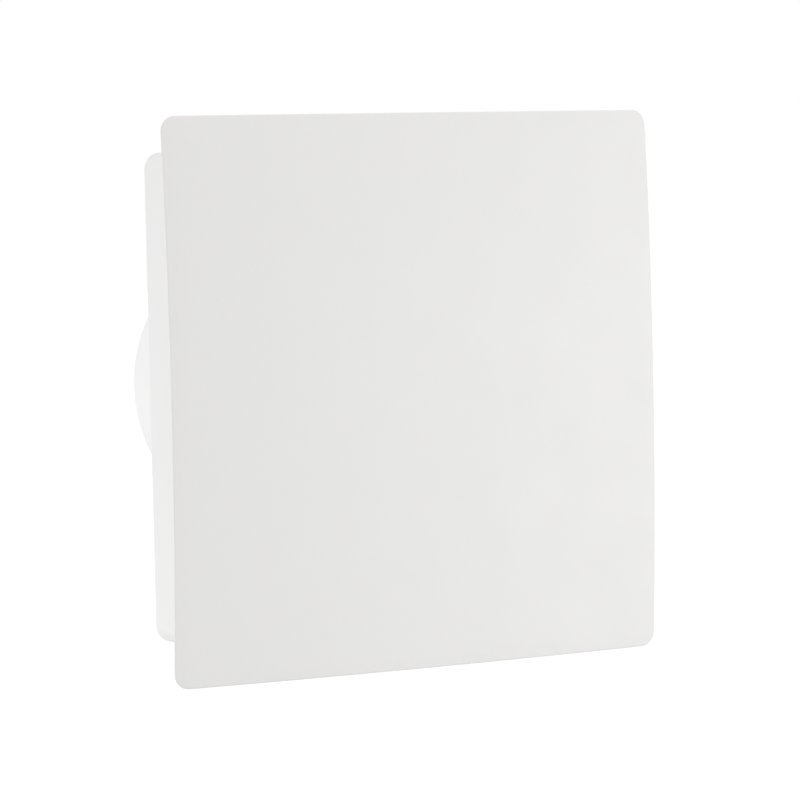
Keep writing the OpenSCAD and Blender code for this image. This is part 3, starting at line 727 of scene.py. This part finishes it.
HARNESS_R, HARNESS_Y = 58.2, -10.5
LEAD_ANGLE = -45
ROUTE_STEPS = 8
LEADS = {
    "supply_lead": (1.2, [
        (-64, -9, -60), (-64, -9.3, -57), (-58, HARNESS_Y, -50),
        *(polar(HARNESS_R, a, HARNESS_Y) for a in range(222, 137, -14)),
        (-47.5, HARNESS_Y, 47), (-48, HARNESS_Y, 53.95)]),
    "low_voltage_lead": (1.1, [
        (-35.7, HARNESS_Y, 62), (-34, HARNESS_Y, 62), (-30.5, HARNESS_Y, 60),
        *(polar(HARNESS_R, a, HARNESS_Y) for a in range(112, -31, -14)),
        (53.4, HARNESS_Y, -37), (56, HARNESS_Y, -46), (56, HARNESS_Y, -51.5), (56, HARNESS_Y, -53.4)]),
    "sensor_lead": (0.75, [
        (50, HARNESS_Y, 55.95), (48.5, -11.6, 51),
        *(polar(HARNESS_R, 46 - 15.2 * k, -12.7) for k in range(6)),
        (54.6, -12.6, -37), (61, -11.4, -47), (63.5, HARNESS_Y, -51.6), (63.5, HARNESS_Y, -53.2)]),
    "motor_lead": (0.75, [
        *(polar(r, LEAD_ANGLE, 13) for r in (17.1, 24, 34, 43)), polar(45.6, LEAD_ANGLE, 12.2),
        *(polar(46, LEAD_ANGLE, y) for y in (9, 3, -3, -6.4)), polar(46.7, LEAD_ANGLE, -8.2),
        polar(48.8, LEAD_ANGLE, -8.4), polar(53, LEAD_ANGLE, -8.3), polar(58, LEAD_ANGLE, -8.6),
        (41.4, -9.8, -46.5), (41, HARNESS_Y, -51.4), (41, HARNESS_Y, -53.4)]),
}


def make_lead(node):
    radius, points = LEADS[node]
    shape = bmesh.new()
    loft(shape, tube_rings(smooth_route(points, ROUTE_STEPS), radius * MM))
    dress(piece_from(shape, node + "_sheath", 50), node)


def make_spring():
    """The button's coil, with its end turns closed up."""
    low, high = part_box("button_spring")
    wire = 0.3 * MM
    middle = (low + high) / 2
    coil = (high.z - low.z) / 2 - wire
    first, last = low.x + wire, high.x - wire
    turns, closed, steps = 5.5, 0.75, 28
    route = []
    for k in range(int(turns * steps) + 1):
        done = k / steps
        tight = min(done, closed) + max(done - turns + closed, 0)
        share = min(max((done - closed) / (turns - 2 * closed), 0), 1)
        x = first + 2 * wire * tight + (last - first - 4 * wire * closed) * share
        a = 2 * math.pi * done
        route.append(Vector((x, middle.y + coil * math.cos(a), middle.z + coil * math.sin(a))))
    shape = bmesh.new()
    loft(shape, tube_rings(route, wire, 10))
    spring = dress(piece_from(shape, "button_spring_coil", 50), "button_spring")
    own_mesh(spring)


TOOTH_HALF = 1.55 * MM
TOOTH_ENDS = (-0.05 * MM, 8.05 * MM)
WINDING_FROM, WINDING_TO = 8.9 * MM, 12.6 * MM
WINDING_T = 1.65 * MM
TEETH = 6
TURNS_PER_LAYER = 8
STEPS_PER_TURN = 6
RIDGE = 0.16 * MM


def round_tooth(grown, r):
    """A ring round a tooth of the stator at r from the axis, grown all round, with round corners."""
    corner = min(1.5 * MM, 0.9 * grown + 0.05 * MM)
    z = TOOTH_HALF + grown - corner
    y0, y1 = TOOTH_ENDS[0] - grown + corner, TOOTH_ENDS[1] + grown - corner
    points = []
    for quarter, (cy, cz) in enumerate(((y1, z), (y0, z), (y0, -z), (y1, -z))):
        for k in range(7):
            a = (quarter + k / 6) * math.pi / 2
            points.append(Vector((r, cy + corner * math.cos(a), cz + corner * math.sin(a))))
    return points


def make_windings():
    """Enamelled wire wound round each tooth of the stator, with each turn showing as a ridge."""
    shape = bmesh.new()
    steps = TURNS_PER_LAYER * STEPS_PER_TURN
    for tooth in range(TEETH):
        spin = Matrix.Rotation(math.radians(360 / TEETH * tooth), 4, "Y")
        rings = []
        for k in range(steps + 1):
            r = WINDING_FROM + (WINDING_TO - WINDING_FROM) * k / steps
            ridge = abs(math.sin(math.pi * k / STEPS_PER_TURN)) ** 0.6
            grown = WINDING_T - RIDGE * (1 - ridge)
            rings.append([spin @ p for p in round_tooth(grown, r)])
        inside = [[spin @ p for p in round_tooth(0.0, r)] for r in (WINDING_TO, WINDING_FROM)]
        loft(shape, rings + inside, loop=True)
    dress(piece_from(shape, "stator_windings", 60), "stator_coils")


for node in LEADS:
    make_lead(node)
make_spring()
make_windings()


# ---- ceramic core ----

CHANNEL_PITCH = 3.4 * MM
CHANNEL_WALL = 0.65 * MM
CORE_SKIN = 1.0 * MM


def make_ceramic_core():
    """An extruded honeycomb: square channels right through a round block with a closed skin."""
    low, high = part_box("ceramic_core")
    radius = high.x
    reach = math.ceil(radius / CHANNEL_PITCH)
    half = (CHANNEL_PITCH - CHANNEL_WALL) / 2
    outlines = [[(p.x, p.z) for p in circle(radius, 0, ROUND_SIDES)]]
    for i in range(-reach, reach + 1):
        for k in range(-reach, reach + 1):
            x, z = i * CHANNEL_PITCH, k * CHANNEL_PITCH
            if math.hypot(abs(x) + half, abs(z) + half) < radius - CORE_SKIN:
                corners = ((-half, -half), (half, -half), (half, half), (-half, half))
                outlines.append([(x + dx, z + dz) for dx, dz in corners])
    shape = bmesh.new()
    ends = []
    for y in (low.y, high.y):
        loops = [[shape.verts.new((x, y, z)) for x, z in outline] for outline in outlines]
        edges = [shape.edges.new((loop[k], loop[(k + 1) % len(loop)]))
                 for loop in loops for k in range(len(loop))]
        bmesh.ops.triangle_fill(shape, use_beauty=True, use_dissolve=False, edges=edges,
                                normal=(0, 1, 0))
        ends.append(loops)
    for first, second in zip(*ends):
        bridge(shape, first, second)
    dress(piece_from(shape, "ceramic_honeycomb", 30), "ceramic_core")


make_ceramic_core()


# ---- all other pieces: the CAD's own shapes, with edges rounded by these radii in mm ----

ROUNDING = {
    "housing": 0.5, "cover_seal": 0.6, "cover_clips": 0.12, "housing_screws": 0.15, "wall_plate": 0.25,
    "wall_gasket": 0.35, "duct_spigot": 0.35, "spigot_screws": 0.15, "inlet_bell": 0.3, "bell_screws": 0.15,
    "filter_frame": 0.3, "fan_casing": 0.25, "front_bearing": 0.1, "rear_bearing": 0.1, "stator_core": 0.1,
    "motor_board": 0.1, "impeller": 0.3, "rotor_can": 0.25, "rotor_magnet": 0.2, "motor_shaft": 0.1,
    "preload_washer": 0.1, "shaft_clip": 0.06, "core_seal": 0.25, "core_casing": 0.25, "core_wrap": 0.5,
    "core_end_grid": 0.3, "terminal_block": 0.3, "terminal_screws": 0.1, "cable_grommet": 0.35,
    "cable_clamp": 0.4, "clamp_screws": 0.12, "power_supply": 0.5, "control_board": 0.12,
    "sensor_board": 0.12, "board_screws": 0.1, "processor": 0.06, "capacitor": 0.35,
    "board_connectors": 0.2, "mode_switch": 0.2, "mode_button": 0.35, "slider_switch": 0.2,
    "speed_slider": 0.3, "trimmers": 0.25, "humidity_dial": 0.2, "timer_dial": 0.2, "status_led": 0.15,
    "status_light": 0.2, "humidity_sensor": 0.2,
}
for node, radius in ROUNDING.items():
    soften(node, radius * MM)
